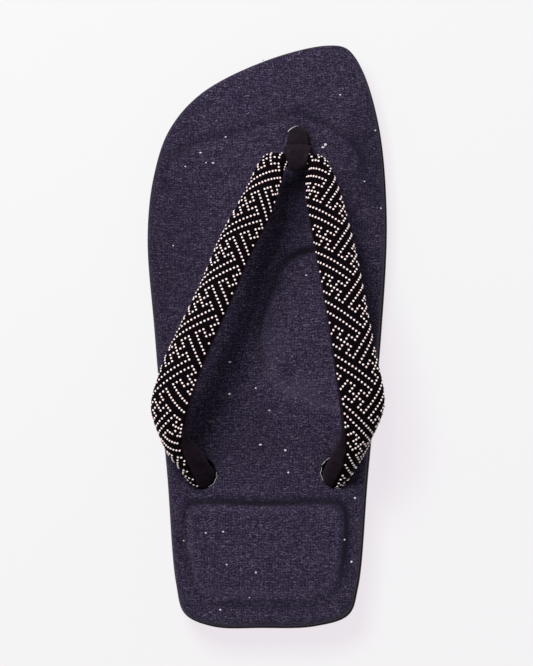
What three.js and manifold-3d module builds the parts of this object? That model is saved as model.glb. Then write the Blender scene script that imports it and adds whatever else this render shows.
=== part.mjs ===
// Setta sandal, left shoe: outsole, heel lift, cloth-wrapped footbed, thong strap and toe thong.
// Millimetres. +Z is up, +Y points to the toe, +X to the big-toe (medial) side.
// The origin is on the floor under the middle of the sole.
import * as THREE from 'three';
import { mergeVertices } from 'three/addons/utils/BufferGeometryUtils.js';
import Module from 'manifold-3d';

const wasm = await Module();
wasm.setup();

// Sizes

const FIT_GAP = 0.3;
const LIFT_HEIGHT = 8;
const SOLE_THICKNESS = 6;
const BED_THICKNESS = 9;
const TOE_SPRING = 5;
const HEEL_FLAT_END = -58;
const BALL_FLAT = { from: 26, to: 80 };
const TOE_END = 135;
const BED_SETBACK = 0.8;
const HALF_EDGE_STEPS = 42;
const LOOP_STEPS = 3;
const STRAP_STEPS = 3;
const STRAP_SIDES = 14;
const HOLE_SIDES = 24;
const UP = new THREE.Vector3(0, 0, 1);
const ACROSS = new THREE.Vector3(1, 0, 0);

// Outline of the outsole, from the back of the heel round the medial side to the toe and back.
const SOLE_EDGE = [
  { x: -3, y: -135 },
  { x: 22, y: -134.2 },
  { x: 37.2, y: -129 },
  { x: 41.5, y: -117 },
  { x: 46.4, y: -65 },
  { x: 52.6, y: 0 },
  { x: 55.5, y: 56 },
  { x: 52.2, y: 98 },
  { x: 44.5, y: 124.9 },
  { x: 38.2, y: 133.8 },
  { x: 28.8, y: 135.6 },
  { x: 0, y: 129.2 },
  { x: -31.4, y: 113.9 },
  { x: -46.6, y: 96.7 },
  { x: -53.8, y: 75 },
  { x: -56.5, y: 47 },
  { x: -52.6, y: 0 },
  { x: -46.2, y: -62 },
  { x: -41.6, y: -115 },
  { x: -37.6, y: -128.5 },
  { x: -25, y: -134.3 },
];
const TOE_ROW = 10;

// Flat faces run from the edge to a straight middle line, this share of the way from the back to the toe.
const SPINE_REACH = 0.7;
const SPINE_SHARES = [0.75, 0.5, 0.25, 0];

// Side walls from the underside to the top: inset from the edge, and rise from the face that the row names.
const SOLE_WALL = [
  { inset: 1, face: 'under', rise: 0 },
  { inset: 0, face: 'under', rise: 1.2 },
  { inset: 0, face: 'top', rise: -0.5 },
  { inset: 0.4, face: 'top', rise: 0 },
];
const BED_WALL = [
  { inset: 1, face: 'under', rise: 0 },
  { inset: 0, face: 'under', rise: 1.4 },
  { inset: 0, face: 'top', rise: -3 },
  { inset: 0.9, face: 'top', rise: -1 },
  { inset: 3.4, face: 'top', rise: 0 },
];
const LIFT_WALL = [
  { inset: 0.8, z: 0 },
  { inset: 0, z: 0.9 },
  { inset: 0, z: LIFT_HEIGHT - 0.4 },
  { inset: 0.4, z: LIFT_HEIGHT },
];

// Recesses pressed into the footbed: depth, swell of the floor's middle, and a closed loop in plan.
const RECESSES = {
  toeBar: {
    depth: 0.6,
    swell: 0,
    loop: [
      { x: -43, y: 83.5 },
      { x: -47.5, y: 76.5 },
      { x: -45.5, y: 70.2 },
      { x: -29.7, y: 74 },
      { x: -5, y: 78.8 },
      { x: 14.5, y: 85.5 },
      { x: 30, y: 79 },
      { x: 40, y: 74.3 },
      { x: 43.3, y: 79 },
      { x: 42, y: 84.5 },
      { x: 37, y: 90.4 },
      { x: 23.7, y: 99 },
      { x: 14.4, y: 103.2 },
      { x: 3, y: 100 },
      { x: -10.4, y: 96 },
      { x: -29.7, y: 91 },
    ],
  },
  arch: {
    depth: 1.6,
    swell: 0.6,
    loop: [
      { x: 21, y: 38.6 },
      { x: 10, y: 34.2 },
      { x: 3.2, y: 22.5 },
      { x: -1.8, y: 8.5 },
      { x: -3.6, y: -4.5 },
      { x: 0.2, y: -16.5 },
      { x: 10.5, y: -27 },
      { x: 29, y: -33.8 },
      { x: 37.5, y: -35 },
      { x: 40.3, y: -12 },
      { x: 42.3, y: 14 },
      { x: 42.6, y: 34 },
      { x: 34, y: 39.5 },
    ],
  },
  heel: {
    depth: 1.6,
    swell: 0,
    loop: [
      { x: 33, y: -79.4 },
      { x: 0, y: -79.2 },
      { x: -34.5, y: -79.4 },
      { x: -37, y: -82.5 },
      { x: -34.5, y: -111 },
      { x: -30, y: -119.6 },
      { x: -20, y: -122 },
      { x: 20, y: -122 },
      { x: 29, y: -119.6 },
      { x: 33.2, y: -111 },
      { x: 35.4, y: -82.5 },
    ],
  },
};

// Wall of a recess from its floor to clear air over the bed: inset in mm, rise as a share of the depth.
const RECESS_WALL = [
  { inset: 1.2, rise: -1 },
  { inset: -0.5, rise: -0.5 },
  { inset: -1.6, rise: -0.15 },
  { inset: -2.6, rise: 0.1 },
  { inset: -2.8, rise: 2 },
];
const SWELL_SHARE = 0.6;

// Holes of the footbed: middle, half sizes along and across, and the turn of the long side from +X.
const HOLES = {
  front: { x: 14.8, y: 92.2, along: 5, across: 4.7, turn: 0 },
  lateral: { x: -29.6, y: -64.8, along: 8.2, across: 7.8, turn: -1.05 },
  medial: { x: 32.2, y: -64.7, along: 8.2, across: 7.8, turn: -2.05 },
};
const HOLE_BOTTOM = 4;
const HOLE_TOP = 40;

// The strap, from the lateral rear hole round the front fold to the medial rear hole.
// Each row has the outer edge (ox, oy, oz), the inner edge (ix, iy, iz) and the thickness between the faces.
const STRAP_ROWS = [
  { ox: -32.3, oy: -59.5, oz: 15, ix: -25.8, iy: -70.5, iz: 15, thick: 11.6 },
  { ox: -32.3, oy: -59.5, oz: 22.5, ix: -26.3, iy: -70, iz: 24.5, thick: 12 },
  { ox: -35.3, oy: -55.2, oz: 28.5, ix: -30.5, iy: -62.3, iz: 38, thick: 12.6 },
  { ox: -42, oy: -47.8, oz: 35, ix: -35.3, iy: -53.5, iz: 49, thick: 12 },
  { ox: -49.3, oy: -36.5, oz: 45.3, ix: -32.9, iy: -42.7, iz: 56.5, thick: 9.8 },
  { ox: -44.2, oy: -18.5, oz: 52, ix: -28.5, iy: -27.8, iz: 60, thick: 8.4 },
  { ox: -36.8, oy: -2, oz: 52.5, ix: -22.6, iy: -12.2, iz: 59, thick: 8 },
  { ox: -27.4, oy: 18.8, oz: 49, ix: -13.5, iy: 9.3, iz: 55.5, thick: 8 },
  { ox: -19.3, oy: 40.2, oz: 43.5, ix: -5.3, iy: 30.8, iz: 49.5, thick: 8 },
  { ox: -8.5, oy: 62.3, oz: 37.5, ix: 3.7, iy: 51.2, iz: 42.5, thick: 7.8 },
  { ox: 0.2, oy: 79.6, oz: 32.5, ix: 8.5, iy: 68.5, iz: 35.5, thick: 7.4 },
  { ox: 8, oy: 81.1, oz: 32.5, ix: 9.6, iy: 74.4, iz: 32.6, thick: 6.2 },
  { ox: 15, oy: 81.7, oz: 32.5, ix: 15, iy: 75.1, iz: 32.4, thick: 6 },
  { ox: 22.3, oy: 80.5, oz: 32.5, ix: 20.6, iy: 74.4, iz: 32.6, thick: 6.2 },
  { ox: 28.3, oy: 77.4, oz: 32.5, ix: 19.2, iy: 67.5, iz: 35.5, thick: 7.4 },
  { ox: 34, oy: 63.5, oz: 37, ix: 19.3, iy: 58, iz: 40.5, thick: 7.8 },
  { ox: 37.8, oy: 49.5, oz: 41, ix: 21.5, iy: 44, iz: 46, thick: 8 },
  { ox: 42.2, oy: 31, oz: 46, ix: 24.9, iy: 26, iz: 52, thick: 8 },
  { ox: 46.1, oy: 10, oz: 51, ix: 28.6, iy: 6, iz: 57.5, thick: 8 },
  { ox: 49.5, oy: -9, oz: 52.5, ix: 31.6, iy: -14.5, iz: 60, thick: 8.4 },
  { ox: 53.8, oy: -36.2, oz: 45, ix: 35.2, iy: -39.5, iz: 57, thick: 9.8 },
  { ox: 44.8, oy: -48.6, oz: 34.5, ix: 36.1, iy: -53.5, iz: 49, thick: 12 },
  { ox: 38.2, oy: -55.3, oz: 28.5, ix: 32.9, iy: -62.6, iz: 38, thick: 12.6 },
  { ox: 34.7, oy: -59, oz: 22.5, ix: 28.4, iy: -70.3, iz: 24.5, thick: 12 },
  { ox: 34.7, oy: -59, oz: 15, ix: 28.2, iy: -70.6, iz: 15, thick: 11.6 },
];
const STRAP_FACE_SHARE = 0.58;
const STRAP_SQUARENESS = 0.85;

// The toe thong: a loop round the strap's front fold and a stem that leans forward into the front hole.
// The loop is a barrel, narrower by the taper at its back.
const LOOP = { x: 15.2, y: 78.8, z: 32.8, halfWidth: 5.4, halfY: 6.3, halfZ: 5.8, wall: 1.6, taper: 0.24 };
const LOOP_SECTIONS = [-1, -0.95, -0.8, -0.5, 0, 0.5, 0.8, 0.95, 1];
const LOOP_EDGE_SHARE = 0.78;
const WAY_REACH = 1.4;
const STEM_ROWS = [
  { y: 92.2, z: 14.8, halfX: 4.5, halfY: 4.3, lean: 0 },
  { y: 92.2, z: 17.5, halfX: 4.5, halfY: 4.3, lean: 0.1 },
  { y: 90.4, z: 21.5, halfX: 4.7, halfY: 4.2, lean: 0.6 },
  { y: 86.6, z: 26, halfX: 5, halfY: 3.7, lean: 0.9 },
  { y: 82, z: 30, halfX: 5, halfY: 3.6, lean: 1 },
];

// Outline of the heel lift, a little inside the sole above it.
const LIFT_CORNERS = [
  { x: -40, y: -134.3, radius: 24 },
  { x: 40, y: -134.3, radius: 24 },
  { x: 44.8, y: -70, radius: 2 },
  { x: -44.6, y: -70, radius: 2 },
];
const CORNER_STEPS = 8;

// Plan curves

function planPoint(row) {
  return new THREE.Vector3(row.x, row.y, 0);
}

function smoothCurve(rows) {
  return new THREE.CatmullRomCurve3(rows.map(planPoint), true, 'centripetal');
}

function smoothLoop(rows, steps) {
  return smoothCurve(rows).getPoints(rows.length * steps).slice(0, -1);
}

// The sole's outline with as many points on the lateral side as on the medial side.
function soleLoop() {
  const curve = smoothCurve(SOLE_EDGE);
  const toe = TOE_ROW / SOLE_EDGE.length;
  return Array.from({ length: 2 * HALF_EDGE_STEPS }, (_, i) => {
    const share = i / HALF_EDGE_STEPS;
    const t = share <= 1 ? toe * share : toe + (1 - toe) * (share - 1);
    return curve.getPoint(t);
  });
}

function roundedCorners(corners) {
  return corners.flatMap((corner, i) => {
    const here = planPoint(corner);
    const before = planPoint(corners[(i + corners.length - 1) % corners.length]);
    const after = planPoint(corners[(i + 1) % corners.length]);
    const start = here.clone().add(before.sub(here).setLength(corner.radius));
    const end = here.clone().add(after.sub(here).setLength(corner.radius));
    return new THREE.QuadraticBezierCurve3(start, here, end).getPoints(CORNER_STEPS);
  });
}

function insetLoop(loop, distance) {
  return loop.map((point, i) => {
    const next = loop[(i + 1) % loop.length];
    const previous = loop[(i + loop.length - 1) % loop.length];
    const along = next.clone().sub(previous).normalize();
    return new THREE.Vector3(point.x - along.y * distance, point.y + along.x * distance, 0);
  });
}

// The loop drawn in to the middle line, whose ends point between two neighbours at the back and the toe.
function towardSpine(loop, share) {
  const half = loop.length / 2;
  const back = loop[0].clone().lerp(loop.at(-1), 0.5);
  const toe = loop[half].clone().lerp(loop[half - 1], 0.5);
  return loop.map((point, i) => {
    const along = Math.min(i, loop.length - i) / half;
    const middle = back.clone().lerp(toe, 0.5 + SPINE_REACH * (along - 0.5));
    return middle.lerp(point, share);
  });
}

function lifted(loop, height) {
  return loop.map((point) => new THREE.Vector3(point.x, point.y, height(point)));
}

// Side profile: the height of each layer at a place along the shoe

function soleUnderside({ y }) {
  const waist = 1 - THREE.MathUtils.smoothstep(y, HEEL_FLAT_END, BALL_FLAT.from);
  const spring = Math.max(0, (y - BALL_FLAT.to) / (TOE_END - BALL_FLAT.to));
  return (LIFT_HEIGHT + FIT_GAP) * waist + TOE_SPRING * spring ** 2;
}

const soleTop = (point) => soleUnderside(point) + SOLE_THICKNESS;
const bedUnderside = (point) => soleTop(point) + FIT_GAP;
const bedTop = (point) => bedUnderside(point) + BED_THICKNESS;

// Solids from rings of points

function ringNormal(ring) {
  const normal = new THREE.Vector3();
  ring.forEach((point, i) => normal.add(point.clone().cross(ring[(i + 1) % ring.length])));
  return normal.normalize();
}

// Triangles that close a ring, facing along its own normal.
function capTriangles(ring) {
  const normal = ringNormal(ring);
  const across = ring[1].clone().sub(ring[0]).projectOnPlane(normal).normalize();
  const up = normal.clone().cross(across);
  const flat = ring.map((point) => new THREE.Vector2(point.dot(across), point.dot(up)));
  const triangles = THREE.ShapeUtils.triangulateShape(flat, []);
  return triangles.map(([a, b, c]) => {
    const facesAlong = THREE.ShapeUtils.area([flat[a], flat[b], flat[c]]) > 0;
    return facesAlong ? [a, b, c] : [a, c, b];
  });
}

// A closed body through rings of equal length, each counter-clockwise about the direction of the loft.
// Rings that end on a middle line close by themselves, and the others take flat caps.
function loft(rings, { capped = true } = {}) {
  const size = rings[0].length;
  const last = (rings.length - 1) * size;
  const index = [];
  for (let row = 0; row < last; row += size) {
    for (let i = 0; i < size; i++) {
      const j = (i + 1) % size;
      index.push(row + i, row + j, row + size + j);
      index.push(row + i, row + size + j, row + size + i);
    }
  }
  if (capped) {
    capTriangles(rings[0]).forEach(([a, b, c]) => index.push(c, b, a));
    capTriangles(rings.at(-1)).forEach(([a, b, c]) => index.push(last + a, last + b, last + c));
  }
  return mergeVertices(new THREE.BufferGeometry().setFromPoints(rings.flat()).setIndex(index));
}

function toSolid(geometry) {
  return new wasm.Manifold(new wasm.Mesh({
    numProp: 3,
    vertProperties: new Float32Array(geometry.attributes.position.array),
    triVerts: new Uint32Array(geometry.index.array),
  }));
}

function toGeometry(solid) {
  const made = solid.getMesh();
  const geometry = new THREE.BufferGeometry();
  geometry.setAttribute('position', new THREE.BufferAttribute(made.vertProperties, 3));
  return geometry.setIndex(Array.from(made.triVerts));
}

// Sole, heel lift and the bare bed

// A layer between two faces, with a wall round its edge and both faces drawn in to the middle line.
function plate(edge, wall, under, top) {
  const rings = wall.map(({ inset, face, rise }) => {
    const height = face === 'top' ? top : under;
    return lifted(insetLoop(edge, inset), (point) => height(point) + rise);
  });
  const below = SPINE_SHARES.map((share) => lifted(towardSpine(rings[0], share), under)).reverse();
  const above = SPINE_SHARES.map((share) => lifted(towardSpine(rings.at(-1), share), top));
  return loft([...below, ...rings, ...above], { capped: false });
}

function outsole() {
  return plate(soleLoop(), SOLE_WALL, soleUnderside, soleTop);
}

function heelLift() {
  const edge = roundedCorners(LIFT_CORNERS);
  return loft(LIFT_WALL.map(({ inset, z }) => lifted(insetLoop(edge, inset), () => z)));
}

// Footbed: the bed with its recesses and holes cut out

function bareBed() {
  return plate(insetLoop(soleLoop(), BED_SETBACK), BED_WALL, bedUnderside, bedTop);
}

function recessCutter({ loop, depth, swell }) {
  const edge = smoothLoop(loop, LOOP_STEPS);
  const rings = RECESS_WALL.map(({ inset, rise }) =>
    lifted(insetLoop(edge, inset), (point) => bedTop(point) + depth * rise));
  if (swell > 0) {
    const sum = edge.reduce((total, point) => total.add(point), new THREE.Vector3());
    const middle = sum.divideScalar(edge.length);
    const floor = edge.map((point) => middle.clone().lerp(point, SWELL_SHARE));
    rings.unshift(lifted(floor, (point) => bedTop(point) - depth + swell));
  }
  return loft(rings);
}

function ellipse({ x, y, along, across, turn }) {
  return Array.from({ length: HOLE_SIDES }, (_, i) => {
    const angle = (2 * Math.PI * i) / HOLE_SIDES;
    const point = new THREE.Vector3(along * Math.cos(angle), across * Math.sin(angle), 0);
    return point.applyAxisAngle(UP, turn).add(new THREE.Vector3(x, y, 0));
  });
}

function holeCutter(hole) {
  const loop = ellipse(hole);
  return loft([lifted(loop, () => HOLE_BOTTOM), lifted(loop, () => HOLE_TOP)]);
}

function footbed() {
  const cutters = [
    ...Object.values(RECESSES).map(recessCutter),
    ...Object.values(HOLES).map(holeCutter),
  ];
  return toGeometry(cutters.reduce((solid, cutter) => solid.subtract(toSolid(cutter)), toSolid(bareBed())));
}

// Strap: one padded tube whose flat section turns with its two edges

function strapSection(outer, inner, along, thick) {
  const middle = outer.clone().add(inner).multiplyScalar(0.5);
  const half = outer.clone().sub(middle);
  const face = along.clone().cross(half).normalize();
  return Array.from({ length: STRAP_SIDES }, (_, i) => {
    const angle = (2 * Math.PI * (i + 0.5)) / STRAP_SIDES;
    const across = Math.sign(Math.cos(angle)) * Math.abs(Math.cos(angle)) ** STRAP_SQUARENESS;
    const share = Math.sin(angle) > 0 ? STRAP_FACE_SHARE : 1 - STRAP_FACE_SHARE;
    const out = thick * share * Math.sin(angle);
    return middle.clone().addScaledVector(half, across).addScaledVector(face, out);
  });
}

function strap() {
  const outer = new THREE.CatmullRomCurve3(STRAP_ROWS.map((r) => new THREE.Vector3(r.ox, r.oy, r.oz)));
  const inner = new THREE.CatmullRomCurve3(STRAP_ROWS.map((r) => new THREE.Vector3(r.ix, r.iy, r.iz)));
  const thick = new THREE.CatmullRomCurve3(STRAP_ROWS.map((r, i) => new THREE.Vector3(i, r.thick, 0)));
  const steps = (STRAP_ROWS.length - 1) * STRAP_STEPS;
  const rings = Array.from({ length: steps + 1 }, (_, i) => {
    const t = i / steps;
    const along = outer.getTangent(t).add(inner.getTangent(t)).normalize();
    return strapSection(outer.getPoint(t), inner.getPoint(t), along, thick.getPoint(t).y);
  });
  return loft(rings);
}

// Toe thong: a rounded loop joined to a stem, with the way for the strap cut through

function loopRing(across, halfY, halfZ, taper = 0) {
  return Array.from({ length: HOLE_SIDES }, (_, i) => {
    const angle = (2 * Math.PI * i) / HOLE_SIDES;
    const x = LOOP.x + LOOP.halfWidth * across * (1 + taper * Math.cos(angle));
    const y = LOOP.y + halfY * Math.cos(angle);
    const z = LOOP.z + halfZ * Math.sin(angle);
    return new THREE.Vector3(x, y, z);
  });
}

function barrelRing(across) {
  const share = LOOP_EDGE_SHARE + (1 - LOOP_EDGE_SHARE) * Math.sqrt(1 - across ** 2);
  return loopRing(across, LOOP.halfY * share, LOOP.halfZ * share, LOOP.taper);
}

function stemRing({ y, z, halfX, halfY, lean }) {
  return Array.from({ length: HOLE_SIDES }, (_, i) => {
    const angle = (2 * Math.PI * i) / HOLE_SIDES;
    const point = new THREE.Vector3(halfX * Math.cos(angle), halfY * Math.sin(angle), 0);
    return point.applyAxisAngle(ACROSS, lean).add(new THREE.Vector3(HOLES.front.x, y, z));
  });
}

function toeThong() {
  const way = [-WAY_REACH, WAY_REACH].map((across) =>
    loopRing(across, LOOP.halfY - LOOP.wall, LOOP.halfZ - LOOP.wall));
  const barrel = loft(LOOP_SECTIONS.map(barrelRing));
  const solid = toSolid(barrel).add(toSolid(loft(STEM_ROWS.map(stemRing))));
  return toGeometry(solid.subtract(toSolid(loft(way))));
}

// The sandal

const PIECES = {
  outsole: { geometry: outsole(), colour: 0x2a2224, roughness: 0.7 },
  heel_lift: { geometry: heelLift(), colour: 0xa98b7d, roughness: 0.6 },
  footbed: { geometry: footbed(), colour: 0x373042, roughness: 0.95 },
  strap: { geometry: strap(), colour: 0x141016, roughness: 0.8 },
  toe_thong: { geometry: toeThong(), colour: 0x211923, roughness: 0.9 },
};

const sandal = new THREE.Group();
for (const [name, { geometry, colour, roughness }] of Object.entries(PIECES)) {
  const material = new THREE.MeshStandardMaterial({ color: colour, roughness, metalness: 0 });
  const mesh = new THREE.Mesh(geometry, material);
  mesh.name = name;
  sandal.add(mesh);
}

export default sandal;
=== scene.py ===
# Setta sandal, left shoe: cloth-wrapped footbed, dotted strap, suede toe thong, sole and heel lift.
# Tables are in millimetres and meshes in metres. +X is the big-toe side, +Y the toe and +Z up.
import math

import bmesh
import bpy
import numpy as np
from mathutils import Matrix, Vector


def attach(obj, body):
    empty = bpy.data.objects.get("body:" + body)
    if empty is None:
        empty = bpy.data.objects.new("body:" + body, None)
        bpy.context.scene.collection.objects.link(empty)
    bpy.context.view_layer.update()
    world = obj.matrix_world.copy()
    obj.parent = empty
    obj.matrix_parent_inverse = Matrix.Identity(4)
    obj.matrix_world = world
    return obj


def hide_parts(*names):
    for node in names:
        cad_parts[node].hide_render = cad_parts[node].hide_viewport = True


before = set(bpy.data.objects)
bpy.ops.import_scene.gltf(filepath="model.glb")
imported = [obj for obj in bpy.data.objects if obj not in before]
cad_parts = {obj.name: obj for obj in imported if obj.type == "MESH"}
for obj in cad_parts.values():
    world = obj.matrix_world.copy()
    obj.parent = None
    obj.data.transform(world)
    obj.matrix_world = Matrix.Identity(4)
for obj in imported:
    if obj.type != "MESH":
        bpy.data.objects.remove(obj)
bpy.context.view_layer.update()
MM = 0.001
TINY = 1e-9

# Sizes of the construction

FIT_GAP = 0.3
LIFT_HEIGHT = 8
SOLE_THICKNESS = 6
BED_THICKNESS = 9
TOE_SPRING = 5
HEEL_FLAT_END = -58
BALL_FLAT_FROM = 26
BALL_FLAT_TO = 80
TOE_END = 135
BED_SETBACK = 0.8
SPINE_REACH = 0.7

# Outline of the sole: x, y, from the back of the heel round the medial side to the toe and back.
SOLE_EDGE = [
    (-3, -135), (22, -134.2), (37.2, -129), (41.5, -117), (46.4, -65), (52.6, 0), (55.5, 56),
    (52.2, 98), (44.5, 124.9), (38.2, 133.8), (28.8, 135.6), (0, 129.2), (-31.4, 113.9), (-46.6, 96.7),
    (-53.8, 75), (-56.5, 47), (-52.6, 0), (-46.2, -62), (-41.6, -115), (-37.6, -128.5), (-25, -134.3),
]
TOE_ROW = 10

# Recesses pressed into the footbed: depth, swell of the floor's middle, and a closed loop of x, y.
RECESSES = {
    "toe_bar": (0.6, 0, [
        (-43, 83.5), (-47.5, 76.5), (-45.5, 70.2), (-29.7, 74), (-5, 78.8), (14.5, 85.5), (30, 79),
        (40, 74.3), (43.3, 79), (42, 84.5), (37, 90.4), (23.7, 99), (14.4, 103.2), (3, 100),
        (-10.4, 96), (-29.7, 91),
    ]),
    "arch": (1.6, 0.6, [
        (21, 38.6), (10, 34.2), (3.2, 22.5), (-1.8, 8.5), (-3.6, -4.5), (0.2, -16.5), (10.5, -27),
        (29, -33.8), (37.5, -35), (40.3, -12), (42.3, 14), (42.6, 34), (34, 39.5),
    ]),
    "heel": (1.6, 0, [
        (33, -79.4), (0, -79.2), (-34.5, -79.4), (-37, -82.5), (-34.5, -111), (-30, -119.6),
        (-20, -122), (20, -122), (29, -119.6), (33.2, -111), (35.4, -82.5),
    ]),
}

# Holes of the footbed: x, y, half size along, half size across, turn of the long side from +X.
HOLES = {
    "front": (14.8, 92.2, 5, 4.7, 0),
    "lateral": (-29.6, -64.8, 8.2, 7.8, -1.05),
    "medial": (32.2, -64.7, 8.2, 7.8, -2.05),
}

# The strap from the lateral rear hole round the front fold to the medial rear hole:
# outer edge x, y, z, inner edge x, y, z, and thickness between the faces.
STRAP_ROWS = np.array([
    (-32.3, -59.5, 15, -25.8, -70.5, 15, 11.6),
    (-32.3, -59.5, 22.5, -26.3, -70, 24.5, 12),
    (-35.3, -55.2, 28.5, -30.5, -62.3, 38, 12.6),
    (-42, -47.8, 35, -35.3, -53.5, 49, 12),
    (-49.3, -36.5, 45.3, -32.9, -42.7, 56.5, 9.8),
    (-44.2, -18.5, 52, -28.5, -27.8, 60, 8.4),
    (-36.8, -2, 52.5, -22.6, -12.2, 59, 8),
    (-27.4, 18.8, 49, -13.5, 9.3, 55.5, 8),
    (-19.3, 40.2, 43.5, -5.3, 30.8, 49.5, 8),
    (-8.5, 62.3, 37.5, 3.7, 51.2, 42.5, 7.8),
    (0.2, 79.6, 32.5, 8.5, 68.5, 35.5, 7.4),
    (8, 81.1, 32.5, 9.6, 74.4, 32.6, 6.2),
    (15, 81.7, 32.5, 15, 75.1, 32.4, 6),
    (22.3, 80.5, 32.5, 20.6, 74.4, 32.6, 6.2),
    (28.3, 77.4, 32.5, 19.2, 67.5, 35.5, 7.4),
    (34, 63.5, 37, 19.3, 58, 40.5, 7.8),
    (37.8, 49.5, 41, 21.5, 44, 46, 8),
    (42.2, 31, 46, 24.9, 26, 52, 8),
    (46.1, 10, 51, 28.6, 6, 57.5, 8),
    (49.5, -9, 52.5, 31.6, -14.5, 60, 8.4),
    (53.8, -36.2, 45, 35.2, -39.5, 57, 9.8),
    (44.8, -48.6, 34.5, 36.1, -53.5, 49, 12),
    (38.2, -55.3, 28.5, 32.9, -62.6, 38, 12.6),
    (34.7, -59, 22.5, 28.4, -70.3, 24.5, 12),
    (34.7, -59, 15, 28.2, -70.6, 15, 11.6),
])
STRAP_FACE_SHARE = 0.58
STRAP_SQUARENESS = 0.85

# The toe thong: a barrel-shaped loop round the front fold, and a stem of y, z, half x, half y, lean.
LOOP = {"x": 15.2, "y": 78.8, "z": 32.8, "half_width": 5.4, "half_y": 6.3, "half_z": 5.8,
        "wall": 1.6, "taper": 0.24}
LOOP_EDGE_SHARE = 0.78
STEM_ROWS = [
    (92.2, 14.8, 4.5, 4.3, 0),
    (92.2, 17.5, 4.5, 4.3, 0.1),
    (90.4, 21.5, 4.7, 4.2, 0.6),
    (86.6, 26, 5, 3.7, 0.9),
    (82, 30, 5, 3.6, 1),
]

# Heel lift: x, y, corner radius.
LIFT_CORNERS = [(-40, -134.3, 24), (40, -134.3, 24), (44.8, -70, 2), (-44.6, -70, 2)]


# Curves and distances

def unit(vectors):
    """Vectors of length 1 the same way."""
    return vectors / np.linalg.norm(vectors, axis=-1, keepdims=True)


def smoothstep(value, low, high):
    """A soft step from 0 at low to 1 at high."""
    share = np.clip((value - low) / (high - low), 0, 1)
    return share * share * (3 - 2 * share)


def hump(distance, width):
    """1 at no distance, falling away softly over the width."""
    return np.exp(-((distance / width) ** 2))


def catmull_rom(points, shares, closed=False):
    """Centripetal curve through points, at shares from 0 to 1 of its rows."""
    points = np.asarray(points, float)
    spans = len(points) if closed else len(points) - 1
    place = np.asarray(shares, float) * spans
    row = np.clip(np.floor(place).astype(int), 0, spans - 1)
    w = (place - row)[:, None]
    if closed:
        p0, p1, p2, p3 = (points[(row + k) % len(points)] for k in (-1, 0, 1, 2))
    else:
        ends = np.vstack([2 * points[0] - points[1], points, 2 * points[-1] - points[-2]])
        p0, p1, p2, p3 = (ends[row + k] for k in range(4))
    d0, d1, d2 = (np.sqrt(np.linalg.norm(b - a, axis=1, keepdims=True) + TINY)
                  for a, b in ((p0, p1), (p1, p2), (p2, p3)))
    start = d1 * ((p1 - p0) / d0 - (p2 - p0) / (d0 + d1) + (p2 - p1) / d1)
    end = d1 * ((p2 - p1) / d1 - (p3 - p1) / (d1 + d2) + (p3 - p2) / d2)
    return (p1 * (2 * w**3 - 3 * w**2 + 1) + start * (w**3 - 2 * w**2 + w)
            + p2 * (3 * w**2 - 2 * w**3) + end * (w**3 - w**2))


def sole_loop(half_steps):
    """The sole's outline with as many points on the lateral side as on the medial side."""
    toe = TOE_ROW / len(SOLE_EDGE)
    medial = np.linspace(0, toe, half_steps, endpoint=False)
    lateral = np.linspace(toe, 1, half_steps, endpoint=False)
    return catmull_rom(SOLE_EDGE, np.concatenate([medial, lateral]), closed=True)


def inset_loop(loop, distance):
    """The loop moved inward, square to itself."""
    along = unit(np.roll(loop, -1, axis=0) - np.roll(loop, 1, axis=0))
    return loop + distance * np.column_stack([-along[:, 1], along[:, 0]])


def toward_spine(loop, share):
    """The loop drawn in to a straight middle line.

    Its ends point between two neighbours at the back and at the toe, so that no faces fold over.
    """
    half = len(loop) // 2
    back = (loop[0] + loop[-1]) / 2
    toe = (loop[half] + loop[half - 1]) / 2
    steps = np.arange(len(loop))
    along = np.minimum(steps, len(loop) - steps) / half
    middle = back + (toe - back) * (0.5 + SPINE_REACH * (along - 0.5))[:, None]
    return middle + (loop - middle) * share


def signed_distance(plan, loop):
    """Distance of plan points to a closed loop, positive inside it."""
    nearest = np.full(len(plan), np.inf)
    inside = np.zeros(len(plan), bool)
    for start, end in zip(loop, np.roll(loop, -1, axis=0)):
        side = end - start
        offset = plan - start
        share = np.clip(offset @ side / (side @ side), 0, 1)
        nearest = np.minimum(nearest, np.linalg.norm(offset - share[:, None] * side, axis=1))
        crosses = (start[1] > plan[:, 1]) != (end[1] > plan[:, 1])
        reach = start[0] + (plan[:, 1] - start[1]) * side[0] / (side[1] or TINY)
        inside ^= crosses & (plan[:, 0] < reach)
    return np.where(inside, nearest, -nearest)


# Side profile: the height of each layer at a place along the shoe

def sole_underside(y):
    waist = 1 - smoothstep(y, HEEL_FLAT_END, BALL_FLAT_FROM)
    spring = np.maximum(0, (y - BALL_FLAT_TO) / (TOE_END - BALL_FLAT_TO))
    return (LIFT_HEIGHT + FIT_GAP) * waist + TOE_SPRING * spring**2


def sole_top(y):
    return sole_underside(y) + SOLE_THICKNESS


def bed_underside(y):
    return sole_top(y) + FIT_GAP


def bed_top(y):
    return bed_underside(y) + BED_THICKNESS


# Meshes

def new_piece(name, points, faces):
    """A smooth mesh from points in millimetres."""
    mesh = bpy.data.meshes.new(name)
    mesh.from_pydata((np.asarray(points) * MM).tolist(), [], faces)
    mesh.shade_smooth()
    piece = bpy.data.objects.new(name, mesh)
    bpy.context.scene.collection.objects.link(piece)
    return piece


def ring_faces(rows, size, first=0):
    """Quads between neighbouring rings of a loft."""
    return [
        (first + r * size + i, first + r * size + (i + 1) % size,
         first + (r + 1) * size + (i + 1) % size, first + (r + 1) * size + i)
        for r in range(rows - 1) for i in range(size)
    ]


def capped_faces(rows, size, first=0):
    """A loft closed at both ends by flat faces."""
    last = first + (rows - 1) * size
    caps = [tuple(range(first + size - 1, first - 1, -1)), tuple(range(last, last + size))]
    return ring_faces(rows, size, first) + caps


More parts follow.
